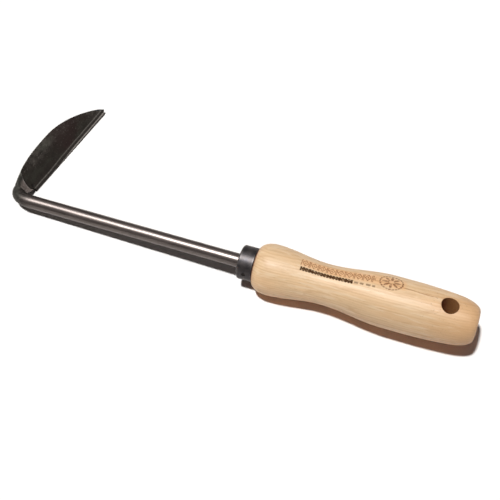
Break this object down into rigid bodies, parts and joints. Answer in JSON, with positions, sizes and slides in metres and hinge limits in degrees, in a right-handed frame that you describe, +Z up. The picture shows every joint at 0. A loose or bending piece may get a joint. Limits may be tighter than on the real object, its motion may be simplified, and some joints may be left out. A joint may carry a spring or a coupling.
{
  "type": "hand sickle",
  "caption": "L-shaped hand weeding sickle: turned wooden handle with a hanging hole, steel ferrule, bent round shank and a half-moon blade with a straight cutting edge.",
  "frame": {"origin": "centre of the flat face at the handle's butt end", "axes": "-X runs from the butt towards the shank and blade, with the tool's own axis dipping 2.5 degrees below level towards the blade; the blade points to +Y; +Z is up, and the tool lies on a level plane below it"},
  "size_m": [0.3193, 0.1129, 0.0371],
  "materials": {
    "ash_wood": "pale turned ash, lightly sealed satin",
    "blackened_steel": "black satin",
    "pin_steel": "dark, as driven",
    "ground_steel": "bright ground bar, darker at the forged bend",
    "forged_steel": "black forge scale with a ground cutting edge",
    "weld_steel": "as welded"
  },
  "bodies": {
    "root": {"handle": "ash_wood", "ferrule": "blackened_steel", "ferrule_pin": "pin_steel", "shank": "ground_steel", "blade": "forged_steel", "weld_bead": "weld_steel"}
  },
  "joints": []
}
